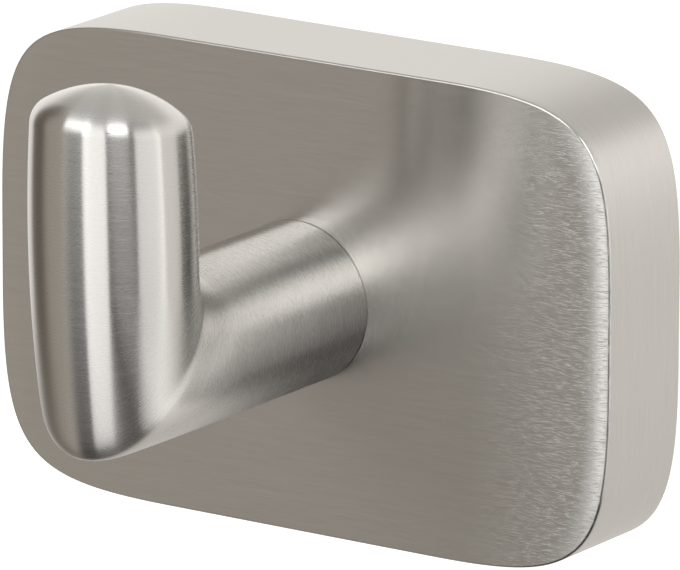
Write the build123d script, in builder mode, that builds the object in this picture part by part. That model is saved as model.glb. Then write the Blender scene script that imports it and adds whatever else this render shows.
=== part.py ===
"""Wall-mounted towel hook in brushed stainless steel.

A rounded rectangular cover hides a folded wall bracket. A thick round arm leaves the cover square on,
turns up at a mitred elbow and ends in a low dome. The wall is the plane y = 0, the hook stands out
along -Y, +Z is up and the origin is the middle of the cover on the wall. Sizes are in millimetres.
"""

from build123d import *
import math
import os

os.makedirs("parts", exist_ok=True)

# Cover
cover_width = 67.5
cover_height = 45.0
cover_depth = 12.0
corner_leg = 18.8
corner_fullness = 0.875
side_wall = 2.0
front_wall = 2.0
front_edge_round = 0.3

# Hook arm
post_radius = 7.6
post_drop = 0.5
throat = 21.5
lean = 2.0
belly_radius = 7.63
belly_rise = 2.65
barrel_curve = 160.0
tip_rise = 17.3
dome_radius = 11.0
dome_shift = 1.6
shoulder_round = 2.6
inner_round = 2.0
elbow_radius = 7.35
elbow_squareness = 24

# Joint between the arm and the cover
spigot_width = 8.0
spigot_relief = 0.3
spigot_clearance = 0.15
screw_radius = 2.5
screw_engagement = 11.0
tapping_extra = 2.0
thread_clearance = 0.05
head_radius = 4.75
head_height = 2.75
head_round = 1.6
socket_width = 3.0
socket_depth = 1.6
washer_bearing = 1.2
washer_thickness = 1.2
washer_clearance = 0.15

# Wall bracket
sheet = 2.0
wall_hole_spacing = 32.0
wall_hole_radius = 2.4
wing_end = 6.5
wing_height = 20.0
wing_corner = 4.0
flange_side_gap = 1.75
flange_front_gap = 1.5
fold_round = 0.8

# Grub screw that locks the cover to the bracket from below
grub_radius = 2.0
grub_length = 6.0
grub_recess = 0.3
grub_tip_chamfer = 0.8
grub_socket_width = 2.0
grub_socket_depth = 2.2
boss_width = 9.0
boss_height = 3.0

# Sizes that follow from the ones above
cavity_depth = cover_depth - front_wall
spigot_length = front_wall - spigot_relief
washer_radius = math.sqrt(2) * (spigot_width / 2 + spigot_clearance) + washer_bearing
bracket_top = cover_height / 2 - side_wall
bracket_bottom = -cover_height / 2 + grub_recess + grub_length
flange_width = cover_width - 2 * corner_leg - 2 * flange_side_gap
flange_depth = cavity_depth - flange_front_gap
grub_setback = (sheet + flange_depth) / 2

# The elbow turns about a line along X, the centre of the round in the arm's inner corner. Its first
# section is the end of the post, and its last one is the start of the upright, which leans outwards.
lean_angle = math.radians(lean)
last_turn = math.pi / 2 - lean_angle
up = Vector(0, -math.sin(lean_angle), math.cos(lean_angle))
out = Vector(0, -math.cos(lean_angle), -math.sin(lean_angle))
pivot = Vector(0, -cover_depth - throat + inner_round, post_radius - post_drop + inner_round)


def barrel_radius(rise):
    """Radius of the upright at a rise from its start: a shallow parabola, widest at the belly."""
    return belly_radius - (rise - belly_rise) ** 2 / (2 * barrel_curve)


start_radius = barrel_radius(0)
post_reach = inner_round + post_radius
upright_reach = inner_round + start_radius
upright_start = pivot + out * upright_reach


def elbow_point(turn, around):
    """Point of an elbow section, in the plane turned by an angle about the pivot line.

    On the outer half it lies on the post or on the barrel, whichever is nearer to the pivot line, with a
    soft crease where the two meet. On the inner half both follow the round in the corner.
    """
    tilt = last_turn - turn
    outward = math.cos(around)
    slant = 1 if outward > 0 else max(math.sin(around) ** 2, 0.05)
    squareness = elbow_squareness / slant
    waist = post_radius - (post_radius - elbow_radius) * min(math.tan(turn), 1) ** 2
    drop = (upright_reach + start_radius * outward) * min(math.tan(tilt), 1)
    barrel = barrel_radius(-drop)
    post_share = ((post_reach + waist * outward) / math.cos(turn) ** slant) ** -squareness
    upright_share = ((upright_reach + barrel * outward) / math.cos(tilt) ** slant) ** -squareness
    total = post_share + upright_share
    half_width = (waist * post_share + barrel * upright_share) / total
    return (half_width * math.sin(around), -(total ** (-1 / squareness)))


def elbow_section(turn, steps=12):
    """Section of the elbow: half of it as a spline through points of its formula, then mirrored."""
    plane = Plane(pivot, x_dir=(1, 0, 0), z_dir=(0, -math.cos(turn), math.sin(turn)))
    with BuildSketch(plane) as section:
        with BuildLine():
            points = [elbow_point(turn, math.pi * step / steps) for step in range(steps + 1)]
            Spline(*points, tangents=[(1, 0), (-1, 0)])
            mirror(about=Plane.YZ)
        make_face()
    return section.sketch


def end_section(normal, radius, reach):
    """Round section at either end of the elbow, split in halves as the others are."""
    with BuildSketch(Plane(pivot, x_dir=(1, 0, 0), z_dir=normal)) as section:
        with BuildLine():
            CenterArc((0, -reach), radius, -90, 180)
            mirror(about=Plane.YZ)
        make_face()
    return section.sketch


def cover_outline(width, height, leg):
    """Sketch with straight sides and full, squarish corners, each corner one Bezier curve."""
    x = width / 2
    y = height / 2
    handle = leg * corner_fullness
    with BuildSketch() as outline:
        with BuildLine():
            Line((x, 0), (x, y - leg))
            Bezier((x, y - leg), (x, y - leg + handle), (x - leg + handle, y), (x - leg, y))
            Line((x - leg, y), (0, y))
            mirror(about=Plane.YZ)
            mirror(about=Plane.XZ)
        make_face()
    return outline.sketch


# Cover: a shell open towards the wall, with a square hole for the arm's spigot and a boss below for the
# grub screw.
with BuildPart() as wall_cover:
    with BuildSketch(Plane.XZ):
        add(cover_outline(cover_width, cover_height, corner_leg))
    extrude(amount=cover_depth)
    fillet(wall_cover.faces().sort_by(Axis.Y)[0].edges(), radius=front_edge_round)
    with BuildSketch(Plane.XZ):
        add(cover_outline(cover_width - 2 * side_wall, cover_height - 2 * side_wall, corner_leg - side_wall))
    extrude(amount=cavity_depth, mode=Mode.SUBTRACT)
    with BuildSketch(Plane.XZ.offset(sheet)):
        with Locations((0, -cover_height / 2 + side_wall)):
            Rectangle(boss_width, boss_height, align=(Align.CENTER, Align.MIN))
    extrude(amount=cavity_depth - sheet)
    with BuildSketch(Plane.XY.offset(-cover_height / 2)):
        with Locations((0, -grub_setback)):
            Circle(grub_radius + thread_clearance)
    extrude(amount=side_wall + boss_height, mode=Mode.SUBTRACT)
    with BuildSketch(Plane.XZ.offset(cavity_depth)):
        with Locations((0, -post_drop)):
            Rectangle(spigot_width + 2 * spigot_clearance, spigot_width + 2 * spigot_clearance)
    extrude(amount=front_wall, mode=Mode.SUBTRACT)
wall_cover.part.label = "wall_cover"
export_step(wall_cover.part, "parts/wall_cover.step")

# Tool for the arm's tip: a block less the dome's sphere, whose seam points down.
dome_centre = upright_start + up * (tip_rise - dome_radius) + out * dome_shift
with BuildPart(Plane(dome_centre, x_dir=up * -1, z_dir=(1, 0, 0))) as tip_cutter:
    Box(2 * dome_radius, 4 * dome_radius, 4 * dome_radius, align=(Align.MAX, Align.CENTER, Align.CENTER))
    Sphere(dome_radius, mode=Mode.SUBTRACT)

# Arm: one cast piece. The post runs out from the cover, the elbow is lofted in three spans, finest at the
# crease, and the upright is a leaning barrel. The tip is cut to the dome and its shoulder is rounded.
crease_turns = [math.radians(degrees) for degrees in (36, 39, 42, 45, 48, 51, 54)]
lower_turns = [math.radians(degrees) for degrees in (12, 22, 30, 36)]
upper_turns = [math.radians(degrees) for degrees in (54, 60, 68, 78)]
barrel_top = tip_rise + shoulder_round
with BuildPart() as hook_arm:
    with BuildSketch(Plane.XZ.offset(cover_depth)):
        with Locations((0, -post_drop)):
            Circle(post_radius)
    extrude(amount=throat - inner_round)
    post_end = end_section((0, -1, 0), post_radius, post_reach)
    barrel_start = end_section(up, start_radius, upright_reach)
    loft([post_end] + [elbow_section(turn) for turn in lower_turns])
    loft([elbow_section(turn) for turn in crease_turns])
    loft([elbow_section(turn) for turn in upper_turns] + [barrel_start])
    with BuildSketch(Plane(upright_start, x_dir=(1, 0, 0), z_dir=out)):
        with BuildLine():
            start_slope = belly_rise / barrel_curve
            middle = (start_radius + start_slope * barrel_top / 2, barrel_top / 2)
            side = Bezier((start_radius, 0), middle, (barrel_radius(barrel_top), barrel_top))
            Polyline(side @ 1, (0, barrel_top), (0, 0), side @ 0)
        make_face()
    revolve(axis=Axis(upright_start, up))
    add(tip_cutter.part, mode=Mode.SUBTRACT)
    fillet(hook_arm.faces().filter_by(GeomType.SPHERE)[0].edges(), radius=shoulder_round)
    with BuildSketch(Plane.XZ.offset(cover_depth)):
        with Locations((0, -post_drop)):
            Rectangle(spigot_width, spigot_width)
    extrude(amount=-spigot_length)
    with BuildSketch(Plane.XZ.offset(cover_depth - spigot_length)):
        with Locations((0, -post_drop)):
            Circle(screw_radius + thread_clearance)
    extrude(amount=spigot_length + screw_engagement + tapping_extra, mode=Mode.SUBTRACT)
hook_arm.part.label = "hook_arm"
export_step(hook_arm.part, "parts/hook_arm.step")

# Washer under the head of the arm's screw, wide enough to span the square hole.
with BuildPart() as arm_washer:
    with BuildSketch(Plane.XZ.offset(cavity_depth)):
        with Locations((0, -post_drop)):
            Circle(washer_radius)
            Circle(screw_radius + washer_clearance, mode=Mode.SUBTRACT)
    extrude(amount=-washer_thickness)
arm_washer.part.label = "arm_washer"
export_step(arm_washer.part, "parts/arm_washer.step")

# Screw that pulls the arm against the cover from behind: round head with a hexagon socket.
head_seat = cavity_depth - washer_thickness
with BuildPart() as arm_screw:
    with BuildSketch(Plane.XZ.offset(head_seat)):
        with Locations((0, -post_drop)):
            Circle(head_radius)
    extrude(amount=-head_height)
    fillet(arm_screw.faces().sort_by(Axis.Y)[-1].edges(), radius=head_round)
    with BuildSketch(Plane.XZ.offset(head_seat)):
        with Locations((0, -post_drop)):
            Circle(screw_radius)
    extrude(amount=washer_thickness + front_wall + screw_engagement)
    with BuildSketch(Plane.XZ.offset(head_seat - head_height)):
        with Locations((0, -post_drop)):
            RegularPolygon(socket_width / 2, 6, major_radius=False)
    extrude(amount=socket_depth, mode=Mode.SUBTRACT)
arm_screw.part.label = "arm_screw"
export_step(arm_screw.part, "parts/arm_screw.step")

# Bracket: folded sheet on the wall, with two screw holes in its wings. The cover hangs on the upper
# flange, and the grub screw bears on the lower one.
with BuildPart() as wall_bracket:
    with BuildSketch(Plane.XZ):
        RectangleRounded(wall_hole_spacing + 2 * wing_end, wing_height, wing_corner)
        with Locations((0, (bracket_top + bracket_bottom) / 2)):
            Rectangle(flange_width, bracket_top - bracket_bottom)
        with GridLocations(wall_hole_spacing, 0, 2, 1):
            Circle(wall_hole_radius, mode=Mode.SUBTRACT)
    extrude(amount=sheet)
    with BuildSketch(Plane.XZ.offset(sheet)):
        with Locations((0, bracket_top)):
            Rectangle(flange_width, sheet, align=(Align.CENTER, Align.MAX))
        with Locations((0, bracket_bottom)):
            Rectangle(flange_width, sheet, align=(Align.CENTER, Align.MIN))
    extrude(amount=flange_depth - sheet)
    outer_folds = wall_bracket.faces().sort_by(Axis.Y)[-1].edges().filter_by(Axis.X).sort_by(Axis.Z)
    fillet((outer_folds[0], outer_folds[-1]), radius=sheet + fold_round)
    inside = wall_bracket.edges().filter_by(Axis.X).filter_by_position(Axis.Y, -sheet, -sheet)
    inner_folds = inside.sort_by(Axis.Z)
    fillet((inner_folds[0], inner_folds[-1]), radius=fold_round)
wall_bracket.part.label = "wall_bracket"
export_step(wall_bracket.part, "parts/wall_bracket.step")

# Grub screw in the cover's underside, its tip on the bracket's lower flange.
with BuildPart() as grub_screw:
    with BuildSketch(Plane.XY.offset(bracket_bottom - grub_length)):
        with Locations((0, -grub_setback)):
            Circle(grub_radius)
    extrude(amount=grub_length)
    chamfer(grub_screw.faces().sort_by(Axis.Z)[-1].edges(), length=grub_tip_chamfer)
    with BuildSketch(Plane.XY.offset(bracket_bottom - grub_length)):
        with Locations((0, -grub_setback)):
            RegularPolygon(grub_socket_width / 2, 6, major_radius=False)
    extrude(amount=grub_socket_depth, mode=Mode.SUBTRACT)
grub_screw.part.label = "grub_screw"
export_step(grub_screw.part, "parts/grub_screw.step")
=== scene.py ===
"""Towel hook in brushed stainless steel, dressed for a product picture.

The wall is the plane y = 0, the hook stands out along -Y and +Z is up. Lengths are in metres.
"""

import math

import bmesh
import bpy
import numpy as np
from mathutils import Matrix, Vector


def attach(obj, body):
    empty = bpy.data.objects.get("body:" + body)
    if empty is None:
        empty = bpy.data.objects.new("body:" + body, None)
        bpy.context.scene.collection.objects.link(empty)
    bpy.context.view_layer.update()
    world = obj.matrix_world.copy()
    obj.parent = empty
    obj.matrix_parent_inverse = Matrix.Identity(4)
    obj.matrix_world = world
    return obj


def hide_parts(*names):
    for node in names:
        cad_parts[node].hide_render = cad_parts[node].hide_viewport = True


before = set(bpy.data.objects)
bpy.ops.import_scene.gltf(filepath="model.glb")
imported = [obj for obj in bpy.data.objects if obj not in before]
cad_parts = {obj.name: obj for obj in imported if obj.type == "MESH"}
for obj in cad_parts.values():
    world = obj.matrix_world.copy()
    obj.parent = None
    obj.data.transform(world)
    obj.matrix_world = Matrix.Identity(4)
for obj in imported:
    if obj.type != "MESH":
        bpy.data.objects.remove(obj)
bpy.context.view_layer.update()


# Wall bracket: folded from 2 mm stainless sheet and screwed to the wall first. It keeps the dull grey of
# the rolling mill, with faint streaks along the rolling direction, and is only seen from behind.
def node(tree, kind, inputs, **settings):
    """Adds a shader node with its settings. An input takes a plain value or another node's output."""
    made = tree.nodes.new("ShaderNode" + kind)
    for name, value in settings.items():
        setattr(made, name, value)
    for name, value in inputs.items():
        if isinstance(value, bpy.types.NodeSocket):
            tree.links.new(value, made.inputs[name])
        else:
            made.inputs[name].default_value = value
    return made


def two_tone(tree, factor, low, high):
    """Colour from a low tone to a high one, as a noise goes from 0.3 to 0.7, where most of it lies."""
    ramp = node(tree, "ValToRGB", {"Fac": factor})
    ramp.color_ramp.elements[0].position = 0.3
    ramp.color_ramp.elements[1].position = 0.7
    ramp.color_ramp.elements[0].color = (*low, 1)
    ramp.color_ramp.elements[1].color = (*high, 1)
    return ramp.outputs["Color"]


def new_steel(name):
    """Empty metal material: its node tree and its shader, which is fully metallic."""
    material = bpy.data.materials.new(name)
    material.use_nodes = True
    shader = material.node_tree.nodes["Principled BSDF"]
    shader.inputs["Metallic"].default_value = 1
    return material, material.node_tree, shader


dark_mill_grey = (0.40, 0.395, 0.385)
light_mill_grey = (0.55, 0.545, 0.535)
mill_streaks_per_metre = (60, 900, 900)
blotches_per_metre = 120
mill_relief = 0.00005

rolled_sheet, tree, shader = new_steel("rolled_sheet")
place = node(tree, "TexCoord", {}).outputs["Object"]
along = node(tree, "Mapping", {"Vector": place, "Scale": mill_streaks_per_metre}).outputs["Vector"]
mill_streaks = node(tree, "TexNoise", {"Vector": along, "Scale": 1, "Detail": 6}).outputs["Fac"]
blotches = node(tree, "TexNoise", {"Vector": place, "Scale": blotches_per_metre, "Detail": 3}).outputs["Fac"]
grey = two_tone(tree, mill_streaks, dark_mill_grey, light_mill_grey)
dull = node(tree, "MapRange", {"Value": blotches, "To Min": 0.32, "To Max": 0.5}).outputs["Result"]
mill_bump = {"Height": mill_streaks, "Strength": 0.15, "Distance": mill_relief}
relief = node(tree, "Bump", mill_bump).outputs["Normal"]
tree.links.new(grey, shader.inputs["Base Color"])
tree.links.new(dull, shader.inputs["Roughness"])
tree.links.new(relief, shader.inputs["Normal"])
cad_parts["wall_bracket"].material_slots[0].material = rolled_sheet


# Cover: a deep rounded rectangle, pressed and ground to a hollow shell that is hung over the bracket. Its
# face is brushed straight across and its sides are brushed along the rim. A square hole in the face takes
# the arm, and a boss inside its lower side takes the grub screw.
cover_width = 0.0675
cover_height = 0.045
cover_depth = 0.012
corner_leg = 0.0188
corner_fullness = 0.875
side_wall = 0.002
front_wall = 0.002
edge_round = 0.0002
face_reach = 0.007
face_drop = 0.0001
end_reach = 0.003
end_drop = 0.0003
left_end_share = 0.25
edge_margin = 0.00004
arm_drop = 0.0005
square_half = 0.00415
boss_half = 0.0045
boss_near = 0.002
boss_top = -0.0175
grub_hole_radius = 0.00205
grub_hole_middle = -0.00525
cavity_depth = cover_depth - front_wall
boss_steps = 5
boss_rows = 8


def outline(inset):
    """Cover outline moved in by an inset, as complex numbers x + iz, anticlockwise from the right.

    A quarter is half a side, a cubic Bezier curve round the corner, and the top side in two runs that
    part at the boss's edge. The other quarters are its mirror images, so that the lower side has the same.
    """
    x, z, leg = cover_width / 2 - inset, cover_height / 2 - inset, corner_leg - inset
    handle = leg * corner_fullness
    t = np.linspace(0, 1, 33)[1:]
    side = x + 1j * np.linspace(0, z - leg, 5)
    start, end = x + 1j * (z - leg), x - leg + 1j * z
    corner = (
        (1 - t) ** 3 * start
        + 3 * t * (1 - t) ** 2 * (start + 1j * handle)
        + 3 * t**2 * (1 - t) * (end + handle)
        + t**3 * end
    )
    beside_boss = np.linspace(x - leg, boss_half, 7)[1:]
    over_boss = np.linspace(boss_half, 0, boss_steps + 1)[1:]
    top = np.concatenate([beside_boss, over_boss]) + 1j * z
    quarter = np.concatenate([side, corner, top])
    upper = np.concatenate([quarter, -quarter[-2:0:-1].conj()])
    return np.concatenate([upper, -upper])


def square(half, points):
    """Square round the arm's axis with as many points as the outline, which meets its corners halfway."""
    t = np.linspace(0, 2, points // 4 + 1)
    quarter = half * (np.minimum(1, 2 - t) + 1j * np.minimum(t, 1))
    upper = np.concatenate([quarter, -quarter[-2:0:-1].conj()])
    return np.concatenate([upper, -upper]) - 1j * arm_drop


def in_wall_plane(flat, depth):
    """Points x + iz set at a depth out from the wall."""
    return np.stack([flat.real, np.broadcast_to(-np.asarray(depth), flat.shape), flat.imag], axis=-1)


# The shell's profile, carried round the outline: over the face, round the front edge, down the outside,
# across the back, up the inside and back through the square hole. Brushing has worn the ends of the face,
# the right one most: they fall away a little, first gently and then more near the edge.
rim = outline(0)
count = len(rim)
along_rim = np.roll(rim, -1) - np.roll(rim, 1)
end_share = (along_rim.imag / np.abs(along_rim)) ** 2 * np.where(rim.real > 0, 1, left_end_share)
face_insets = edge_round + (face_reach - edge_round) * np.linspace(1, 0, 41)[:-1] ** 2
turn = np.linspace(0, math.pi / 2, 9)
edge_insets = edge_round * (1 - np.sin(turn))
flat_insets = np.concatenate([face_insets, edge_insets])[:, None]
gentle_fall = face_drop * np.maximum(1 - flat_insets / face_reach, 0) ** 3
steep_fall = end_drop * np.maximum(1 - flat_insets / end_reach, 0) ** 3
face_depths = cover_depth - (gentle_fall + steep_fall) * end_share
face_depths[len(face_insets):] -= edge_round * (1 - np.cos(turn))[:, None]
boss_depths = np.linspace(cavity_depth, boss_near, boss_rows + 1)
wall_depths = np.concatenate([boss_depths, [edge_margin, 0]])
insets = np.concatenate([face_insets, edge_insets, [0], np.zeros_like(wall_depths)])
depths = [*face_depths, face_depths[-1] - edge_margin, *wall_depths]
outside = [in_wall_plane(outline(inset), depth) for inset, depth in zip(insets, depths)]
inside = [in_wall_plane(outline(side_wall), depth) for depth in np.concatenate([[0], boss_depths[::-1]])]
hole = square(square_half, count)
rings = np.stack([in_wall_plane(hole, cover_depth), *outside, *inside, in_wall_plane(hole, cavity_depth)])

# Faces between neighbouring rings, less the two places in the lower side where the boss meets it.
ring, step = np.meshgrid(np.arange(len(rings)), np.arange(count), indexing="ij")
ring_after, step_after = (ring + 1) % len(rings), (step + 1) % count
quads = np.stack([ring * count + step, ring * count + step_after,
                  ring_after * count + step_after, ring_after * count + step], axis=-1)
below = count * 3 // 4
columns = np.arange(below - boss_steps, below + boss_steps)
outer_row = 1 + len(face_insets) + len(edge_insets) + 1
inner_row = 1 + len(outside) + 1
kept = np.ones(ring.shape, bool)
kept[np.ix_(np.arange(outer_row, outer_row + boss_rows), columns)] = False
kept[np.ix_(np.arange(inner_row, inner_row + boss_rows), columns)] = False


def border(first_row, last_row):
    """Vertices round the place of the boss, from its first row to its last one and back."""
    rows = np.linspace(first_row, last_row, boss_rows + 1).astype(int)
    right = columns[-1] + 1
    return np.concatenate([
        rows[0] * count + np.arange(columns[0], right),
        rows[:-1] * count + right,
        rows[-1] * count + np.arange(right, columns[0], -1),
        rows[:0:-1] * count + columns[0],
    ])


# The grub screw's hole: from the border outside to a circle, up to the boss's top and down its sides.
outer_border = border(outer_row, outer_row + boss_rows)
inner_border = border(inner_row + boss_rows, inner_row)
shell_points = rings.reshape(-1, 3)
around = shell_points[outer_border] - (0, grub_hole_middle, 0)
angle = np.arctan2(around[:, 1], around[:, 0])
mouth = np.stack([grub_hole_radius * np.cos(angle), grub_hole_middle + grub_hole_radius * np.sin(angle),
                  np.full(len(angle), -cover_height / 2)], axis=-1)
upper_mouth = mouth * (1, 1, 0) + (0, 0, boss_top)
boss_rim = shell_points[inner_border] * (1, 1, 0) + (0, 0, boss_top)
new = np.arange(3 * len(angle)).reshape(3, -1) + len(shell_points)
loops = np.stack([outer_border, *new, inner_border])
bore = np.stack([loops[:-1], np.roll(loops, -1, 1)[:-1], np.roll(loops, -1, 1)[1:], loops[1:]], axis=-1)
points = np.concatenate([shell_points, mouth, upper_mouth, boss_rim])
faces = np.concatenate([quads[kept], bore.reshape(-1, 4)])


def steel_piece(name, node_name, points, faces, grain):
    """Closed mesh that stands for a node: smooth, but for corners sharper than 30 degrees.

    Its UV map is in metres, and the brushing runs along U.
    """
    mesh = bpy.data.meshes.new(name)
    mesh.from_pydata(points.tolist(), [], faces)
    mesh.uv_layers.new(name="grain").data.foreach_set("uv", grain.astype(np.float32).ravel())
    whole = bmesh.new()
    whole.from_mesh(mesh)
    bmesh.ops.recalc_face_normals(whole, faces=whole.faces)
    whole.to_mesh(mesh)
    whole.free()
    mesh.shade_smooth()
    mesh.set_sharp_from_angle(angle=math.radians(30))
    piece = bpy.data.objects.new(name, mesh)
    bpy.context.scene.collection.objects.link(piece)
    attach(piece, "root")
    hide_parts(node_name)
    return piece


# The brushing lies along X on the face and in the bore, and along the rim on the sides.
corner_points = points[faces]
grain = corner_points[:, :, [0, 2]].copy()
rim_length = np.concatenate([[0], np.cumsum(np.abs(np.diff(np.append(rim, rim[0]))))])
side_rows = np.zeros(ring.shape, bool)
side_rows[len(face_insets) + 2:len(rings) - 1] = True
side_faces = np.flatnonzero(side_rows[kept])
side_steps = step[kept][side_faces]
grain[side_faces, :, 0] = rim_length[np.stack([side_steps, side_steps + 1, side_steps + 1, side_steps], 1)]
grain[side_faces, :, 1] = corner_points[side_faces, :, 1]
grain[len(quads[kept]):] = corner_points[len(quads[kept]):, :, [0, 1]]
wall_cover = steel_piece("wall_cover_shell", "wall_cover", points, faces.tolist(), grain)


def streaks(tree, width, length, detail):
    """Noise whose grains have a width across the brushing and a length along it.

    It is taken where the surface is, and squeezed across the brushing by V, so that it closes round a piece.
    """
    place = node(tree, "TexCoord", {}).outputs["Object"]
    uv = node(tree, "UVMap", {}, uv_map="grain").outputs["UV"]
    stretched = node(tree, "VectorMath", {0: place, "Scale": 1 / length}, operation="SCALE").outputs["Vector"]
    squeeze = {0: uv, 1: (0, 1 / width, 0), 2: stretched}
    squeezed = node(tree, "VectorMath", squeeze, operation="MULTIPLY_ADD").outputs["Vector"]
    grains = {"Vector": squeezed, "Scale": 1, "Detail": detail, "Roughness": 0.6}
    return node(tree, "TexNoise", grains).outputs["Fac"]


def brushed_steel(name, dark, light, roughness, anisotropy, scratch_relief):
    """Steel brushed along U. Streaks along the brushing tint it, vary its gloss and scratch it.

    Also gives the gloss and the scratched normal, to which a piece may add its own wear.
    """
    material, tree, shader = new_steel(name)
    hairlines = streaks(tree, width=0.00009, length=0.003, detail=2)
    broad_streaks = streaks(tree, width=0.0004, length=0.012, detail=2)
    tone = node(tree, "Mix", {"Factor": 0.3, "A": hairlines, "B": broad_streaks}).outputs["Result"]
    gloss_range = {"From Min": 0.3, "From Max": 0.7, "To Min": roughness * 0.95, "To Max": roughness * 1.05}
    gloss = node(tree, "MapRange", {"Value": tone, **gloss_range}).outputs["Result"]
    scratches = streaks(tree, width=0.00012, length=0.0008, detail=1)
    relief = {"Height": scratches, "Strength": scratch_relief, "Distance": 0.00002}
    scratched = node(tree, "Bump", relief).outputs["Normal"]
    tangent = node(tree, "Tangent", {}, direction_type="UV_MAP", uv_map="grain").outputs["Tangent"]
    tree.links.new(two_tone(tree, tone, dark, light), shader.inputs["Base Color"])
    tree.links.new(gloss, shader.inputs["Roughness"])
    tree.links.new(scratched, shader.inputs["Normal"])
    tree.links.new(tangent, shader.inputs["Tangent"])
    shader.inputs["Anisotropic"].default_value = anisotropy
    shader.inputs["Anisotropic Rotation"].default_value = 0.25
    return material, tree, shader, gloss, scratched


dark_cover = (0.575, 0.56, 0.535)
light_cover = (0.625, 0.61, 0.585)
brushed_cover, tree, shader, gloss, scratched = brushed_steel(
    "brushed_cover", dark_cover, light_cover, roughness=0.21, anisotropy=0.92, scratch_relief=0.03)

# Towards its right end the face is a little duller and has short nicks. The sides have none.
worn_from = 0.018
worn_fully = 0.030
side_top = -0.0108
face_rim = -0.0114
extra_roughness = 0.04
place = node(tree, "TexCoord", {}).outputs["Object"]
x, y, z = node(tree, "SeparateXYZ", {"Vector": place}).outputs
on_face = node(tree, "MapRange", {"Value": y, "From Min": side_top, "From Max": face_rim}).outputs["Result"]
right_end = {"Value": x, "From Min": worn_from, "From Max": worn_fully, "To Max": on_face}
worn = node(tree, "MapRange", right_end).outputs["Result"]
dulling = {0: worn, 1: extra_roughness, 2: gloss}
duller = node(tree, "Math", dulling, operation="MULTIPLY_ADD").outputs["Value"]
nick_noise = streaks(tree, width=0.00006, length=0.001, detail=1)
sparse = {"Value": nick_noise, "From Min": 0.58, "From Max": 0.74, "To Max": worn}
nicks = node(tree, "MapRange", sparse).outputs["Result"]
nicked = node(tree, "Bump", {"Height": nicks, "Strength": 0.42, "Distance": 0.00003, "Normal": scratched})
tree.links.new(duller, shader.inputs["Roughness"])
tree.links.new(nicked.outputs["Normal"], shader.inputs["Normal"])
wall_cover.data.materials.append(brushed_cover)


# Hook arm: one solid casting, ground and brushed round its axis. A round post leaves the cover square on,
# turns up at a mitred elbow, and the upright leans out a little, bulges and ends in a low dome. A square
# spigot in the cover's hole keeps it from turning, and a tapped hole takes the screw from behind.
post_radius = 0.0076
throat = 0.0215
lean = math.radians(2.0)
belly_radius = 0.00763
belly_rise = 0.00265
barrel_curve = 0.160
tip_rise = 0.0173
dome_radius = 0.011
dome_shift = 0.0016
shoulder_round = 0.0026
inner_round = 0.002
elbow_radius = 0.00735
elbow_squareness = 24
foot_break = 0.00012
spigot_half = 0.004
spigot_end = 0.0103
tapped_radius = 0.00255
tapped_end = 0.025
directions = 256
post_rows = 24
elbow_rows = 95
upright_rows = 40
shoulder_rows = 15
dome_rows = 31
last_turn = math.pi / 2 - lean
up = np.array([0, -math.sin(lean), math.cos(lean)])
out = np.array([0, -math.cos(lean), -math.sin(lean)])
side = np.array([1, 0, 0])
pivot = np.array([0, -cover_depth - throat + inner_round, post_radius - arm_drop + inner_round])


def barrel_radius(rise):
    """Radius of the upright at a rise from its start: a shallow parabola, widest at the belly."""
    return belly_radius - (rise - belly_rise) ** 2 / (2 * barrel_curve)


start_radius = barrel_radius(0)
post_reach = inner_round + post_radius
upright_reach = inner_round + start_radius
upright_start = pivot + out * upright_reach


def elbow_rings(turn, around):
    """Rings of the elbow, each in a plane turned about the round in the arm's inner corner.

    On the outer half a point lies on the post or on the barrel, whichever is nearer to that round, with a
    soft crease where the two meet. On the inner half both follow the round.
    """
    least_slant = 0.05
    tilt = last_turn - turn
    outward = np.cos(around)
    slant = np.where(outward > 0, 1, np.maximum(np.sin(around) ** 2, least_slant))
    power = elbow_squareness / slant
    waist = post_radius - (post_radius - elbow_radius) * np.minimum(np.tan(turn), 1) ** 2
    barrel = barrel_radius(-(upright_reach + start_radius * outward) * np.minimum(np.tan(tilt), 1))
    on_post = (post_reach + waist * outward) / np.cos(turn) ** slant
    on_barrel = (upright_reach + barrel * outward) / np.cos(tilt) ** slant
    near = np.minimum(on_post, on_barrel)
    post_share = (on_post / near) ** -power
    barrel_share = (on_barrel / near) ** -power
    total = post_share + barrel_share
    half_width = (waist * post_share + barrel * barrel_share) / total
    reach = near * total ** (-1 / power)
    return pivot + np.stack([half_width * np.sin(around), -reach * np.sin(turn), -reach * np.cos(turn)], -1)


def meridian(radius, rise):
    """Points of the upright at a distance from its axis and a rise, one column for each direction."""
    direction = np.cos(around)[:, None] * out + np.sin(around)[:, None] * side
    return upright_start + radius[..., None] * direction + rise[..., None] * up


def tip_profile(around):
    """Rise of the shoulder on the barrel, and the centre of its round, for each direction.

    In a plane through the axis the dome is a circle. The round touches it and the barrel from inside, so
    its centre is one shoulder radius in from the barrel and as much nearer to the dome's centre. The rise
    is found by halving the stretch in which it lies.
    """
    lowest_rise = 0.005
    centre = dome_shift * np.cos(around)
    reach = np.sqrt(dome_radius**2 - (dome_shift * np.sin(around)) ** 2) - shoulder_round
    low, high = np.full_like(around, lowest_rise), np.full_like(around, tip_rise)
    for _ in range(40):
        rise = (low + high) / 2
        slope = -(rise - belly_rise) / barrel_curve
        radius = barrel_radius(rise) - shoulder_round / np.hypot(1, slope)
        height = rise + shoulder_round * slope / np.hypot(1, slope)
        too_high = np.hypot(radius - centre, height - (tip_rise - dome_radius)) > reach
        low, high = np.where(too_high, low, rise), np.where(too_high, rise, high)
    return rise, radius, height, centre


around = np.linspace(0, 2 * math.pi, directions + 1)[:-1]
circle = np.stack([np.sin(around), -np.cos(around)], -1)
flat_square = circle / np.abs(circle).max(1, keepdims=True)


def post_ring(flat, depth):
    """Ring round the post's axis at a depth from the wall."""
    return np.stack([flat[:, 0], np.full(len(flat), -depth), flat[:, 1] - arm_drop], -1)


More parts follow.
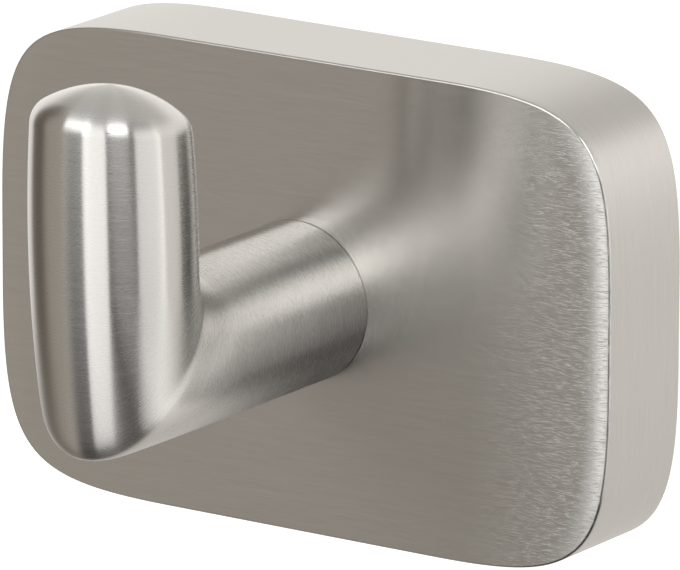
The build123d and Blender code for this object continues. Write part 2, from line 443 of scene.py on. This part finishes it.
foot = [
    post_ring(tapped_radius * circle, tapped_end),
    post_ring(tapped_radius * circle, spigot_end),
    post_ring(spigot_half * flat_square, spigot_end),
    post_ring(spigot_half * flat_square, cover_depth),
    post_ring((post_radius - foot_break) * circle, cover_depth),
]
post_depths = np.linspace(cover_depth + foot_break, cover_depth + throat - inner_round, post_rows)
post = [post_ring(post_radius * circle, depth) for depth in post_depths]

# The elbow's rings lie closest together at its crease, halfway round the turn.
crowding = 0.65
sweep = np.linspace(-1, 1, elbow_rows + 2)[1:-1, None]
crowded = (1 - crowding) * sweep + crowding * sweep**3
elbow = elbow_rings(last_turn / 2 * (1 + crowded), around[None, :])
shoulder, round_radius, round_height, dome_middle = tip_profile(around)
rises = np.linspace(0, 1, upright_rows)[:, None] * shoulder
upright = meridian(barrel_radius(rises), rises)
slope = -(shoulder - belly_rise) / barrel_curve
first = np.arctan2(-slope, 1)
last = np.arctan2(round_height - (tip_rise - dome_radius), round_radius - dome_middle)
bend = first + np.linspace(0, 1, shoulder_rows + 1)[1:, None] * (last - first)
shoulder_rings = meridian(round_radius + shoulder_round * np.cos(bend),
                          round_height + shoulder_round * np.sin(bend))
dome_reach = np.sqrt(dome_radius**2 - (dome_shift * np.sin(around)) ** 2)
middle = np.arctan2(np.sqrt(dome_reach**2 - dome_middle**2), -dome_middle)
sweep = last + np.linspace(0, 1, dome_rows + 2)[1:-1, None] * (middle - last)
dome = meridian(dome_middle + dome_reach * np.cos(sweep),
                tip_rise - dome_radius + dome_reach * np.sin(sweep))
rings = np.concatenate([foot, post, elbow, upright, shoulder_rings, dome])
hole_end = np.array([0, -tapped_end, -arm_drop])
tip = upright_start + up * (tip_rise - dome_radius + math.sqrt(dome_radius**2 - dome_shift**2))

# Faces between the rings, and a fan at each end. V runs along the arm and U round it.
steps = np.arange(directions)
ring, step = np.meshgrid(np.arange(len(rings) - 1), steps, indexing="ij")
ring, step = ring.ravel(), step.ravel()
step_after = (step + 1) % directions
quads = np.stack([ring * directions + step, ring * directions + step_after,
                  (ring + 1) * directions + step_after, (ring + 1) * directions + step], -1)
ends = len(rings) * directions
top = (len(rings) - 1) * directions
fans = np.concatenate([
    np.stack([np.full(directions, ends), (steps + 1) % directions, steps], -1),
    np.stack([top + steps, top + (steps + 1) % directions, np.full(directions, ends + 1)], -1),
])
points = np.concatenate([rings.reshape(-1, 3), [hole_end, tip]])
length = np.concatenate([[0], np.cumsum(np.linalg.norm(np.diff(rings, axis=0), axis=2).mean(1))])
step_length = 2 * math.pi * post_radius / directions
across = step_length * np.stack([step, step + 1, step + 1, step], -1)
lengthwise = length[np.stack([ring, ring, ring + 1, ring + 1], -1)]
grain = np.stack([across, lengthwise], -1).reshape(-1, 2)
tip_length = 0.0002
fan_across = step_length * np.concatenate([np.stack([steps + 0.5, steps + 1, steps], -1),
                                           np.stack([steps, steps + 1, steps + 0.5], -1)])
fan_ends = [[-tapped_radius, 0, 0], [length[-1], length[-1], length[-1] + tip_length]]
fan_lengthwise = np.repeat(fan_ends, directions, axis=0)
grain = np.concatenate([grain, np.stack([fan_across, fan_lengthwise], -1).reshape(-1, 2)])
faces = quads.tolist() + fans.tolist()
hook_arm = steel_piece("hook_arm_bar", "hook_arm", points, faces, grain)

dark_arm = (0.608, 0.593, 0.568)
light_arm = (0.624, 0.609, 0.584)
brushed_arm, *_ = brushed_steel(
    "brushed_arm", dark_arm, light_arm, roughness=0.27, anisotropy=0.97, scratch_relief=0.002)
hook_arm.data.materials.append(brushed_arm)


# Washer, screw and grub screw: turned steel. The first two pull the arm against the cover from behind, and
# the grub screw locks the cover to the bracket from below.
dark_turned = (0.36, 0.36, 0.36)
light_turned = (0.5, 0.5, 0.5)
marks_per_metre = 900
turned_steel, tree, shader = new_steel("turned_steel")
place = node(tree, "TexCoord", {}).outputs["Object"]
marks = node(tree, "TexNoise", {"Vector": place, "Scale": marks_per_metre, "Detail": 4}).outputs["Fac"]
tool_gloss = node(tree, "MapRange", {"Value": marks, "To Min": 0.2, "To Max": 0.4}).outputs["Result"]
tree.links.new(two_tone(tree, marks, dark_turned, light_turned), shader.inputs["Base Color"])
tree.links.new(tool_gloss, shader.inputs["Roughness"])
for name in ("arm_washer", "arm_screw", "grub_screw"):
    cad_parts[name].material_slots[0].material = turned_steel


# Studio: a pale floor below the hook, five softboxes, and a surround that is white behind the hook and dim
# in front of it. The floor lets lamplight through, shows in no reflection and is hidden from below.
floor_level = -0.15
floor_half = 3
floor_glow = 0.45
floor_corners = np.array([(-1, -1, 0), (1, -1, 0), (1, 1, 0), (-1, 1, 0)]) * floor_half + (0, 0, floor_level)
floor_mesh = bpy.data.meshes.new("floor")
floor_mesh.from_pydata(floor_corners.tolist(), [], [(0, 1, 2, 3)])
floor = bpy.data.objects.new("floor", floor_mesh)
bpy.context.scene.collection.objects.link(floor)
floor.visible_glossy = False
floor.visible_shadow = False
pale = bpy.data.materials.new("pale_floor")
pale.use_nodes = True
tree = pale.node_tree
shader = tree.nodes["Principled BSDF"]
shader.inputs["Base Color"].default_value = (0.9, 0.9, 0.9, 1)
shader.inputs["Roughness"].default_value = 1
shader.inputs["Emission Color"].default_value = (1, 1, 1, 1)
seen = node(tree, "LightPath", {}).outputs["Is Camera Ray"]
glow = node(tree, "Math", {0: seen, 1: floor_glow}, operation="MULTIPLY").outputs["Value"]
tree.links.new(glow, shader.inputs["Emission Strength"])
under = node(tree, "NewGeometry", {}).outputs["Backfacing"]
clear = node(tree, "BsdfTransparent", {}).outputs["BSDF"]
one_sided = node(tree, "MixShader", {0: under, 1: shader.outputs["BSDF"], 2: clear}).outputs["Shader"]
tree.links.new(one_sided, tree.nodes["Material Output"].inputs["Surface"])
floor_mesh.materials.append(pale)

surround = bpy.data.worlds.new("surround")
surround.use_nodes = True
bpy.context.scene.world = surround
tree = surround.node_tree
direction = node(tree, "TexCoord", {}).outputs["Generated"]
x, y, z = node(tree, "SeparateXYZ", {"Vector": direction}).outputs


def zone(value, start, end, before, after):
    """Colour that changes smoothly from one zone to the next, as a value goes from start to end."""
    share = node(tree, "MapRange", {"Value": value, "From Min": start, "From Max": end},
                 interpolation_type="SMOOTHSTEP").outputs["Result"]
    mix = node(tree, "Mix", {"Factor": share}, data_type="RGBA")
    for socket, colour in ((mix.inputs[6], before), (mix.inputs[7], after)):
        if isinstance(colour, tuple):
            socket.default_value = (*colour, 1)
        else:
            tree.links.new(colour, socket)
    return mix.outputs[2]


# In front of the hook: warm grey on the left, cooler grey on the right and dark below it, pale overhead.
left = zone(y, -0.45, -0.15, (0.46, 0.425, 0.38), (0.17, 0.15, 0.125))
right = zone(y, -0.65, -0.3, (0.18, 0.175, 0.17), (0.4, 0.39, 0.38))
right = zone(z, -0.45, -0.15, (0.06, 0.055, 0.05), right)
level = zone(x, -0.62, -0.35, left, right)
front = zone(z, 0.6, 0.9, level, (0.6, 0.6, 0.6))

# Behind it a white backdrop, which cameras see as plain white.
backdrop = zone(z, -0.35, 0.15, (0.84, 0.81, 0.77), (1.15, 1.12, 1.08))
backdrop = zone(z, 0.3, 0.65, backdrop, (0.66, 0.64, 0.61))
room = zone(y, 0.15, 0.4, front, backdrop)
seen = node(tree, "LightPath", {}).outputs["Is Camera Ray"]
tree.links.new(zone(seen, 0, 1, room, (1.0, 1.0, 1.0)), tree.nodes["Background"].inputs["Color"])


def softbox(name, azimuth, elevation, width, height, radiance, lit_piece=None, spread=180):
    """Area lamp aimed at the hook, placed and sized by angles in degrees, azimuth from -Y towards +X.

    Where a lit piece is given, the lamp is flagged off from all the others. A spread under 180 fades the
    lamp towards its edges and brightens its middle.
    """
    distance = 2.5
    lamp = bpy.data.objects.new(name, bpy.data.lights.new(name, "AREA"))
    turn, rise = math.radians(azimuth), math.radians(elevation)
    towards = Vector((math.cos(rise) * math.sin(turn), -math.cos(rise) * math.cos(turn), math.sin(rise)))
    lamp.location = distance * towards
    lamp.rotation_euler = towards.to_track_quat("Z", "Y").to_euler()
    lamp.data.shape = "RECTANGLE"
    lamp.data.size = 2 * distance * math.tan(math.radians(width / 2))
    lamp.data.size_y = 2 * distance * math.tan(math.radians(height / 2))
    lamp.data.energy = math.pi * lamp.data.size * lamp.data.size_y * radiance
    lamp.data.spread = math.radians(spread)
    lamp.visible_camera = False
    bpy.context.scene.collection.objects.link(lamp)
    if lit_piece:
        lit = bpy.data.collections.new(name + "_lights")
        lit.objects.link(lit_piece)
        lamp.light_linking.receiver_collection = lit


softbox("key_left", -17, 28, 38, 30, 0.72, spread=90)
softbox("key_right", 48, 29, 28, 32, 0.96, spread=90)
softbox("side_right", 89, -4, 40, 60, 0.95)
softbox("front_of_arm", 11.5, 2, 33, 78, 1.48, hook_arm)
softbox("front_of_cover", -6, -13, 44, 26, 0.135, wall_cover, 50)

# Camera: a long lens, from the right of the hook and a little above it.
camera = bpy.data.objects.new("camera", bpy.data.cameras.new("camera"))
camera.data.lens = 543.6
camera.location = (0.5146, -0.7629, 0.2438)
camera.rotation_euler = [math.radians(angle) for angle in (75.067, -0.137, 34.220)]
bpy.context.scene.collection.objects.link(camera)
bpy.context.scene.camera = camera
bpy.context.scene.view_settings.view_transform = "Standard"
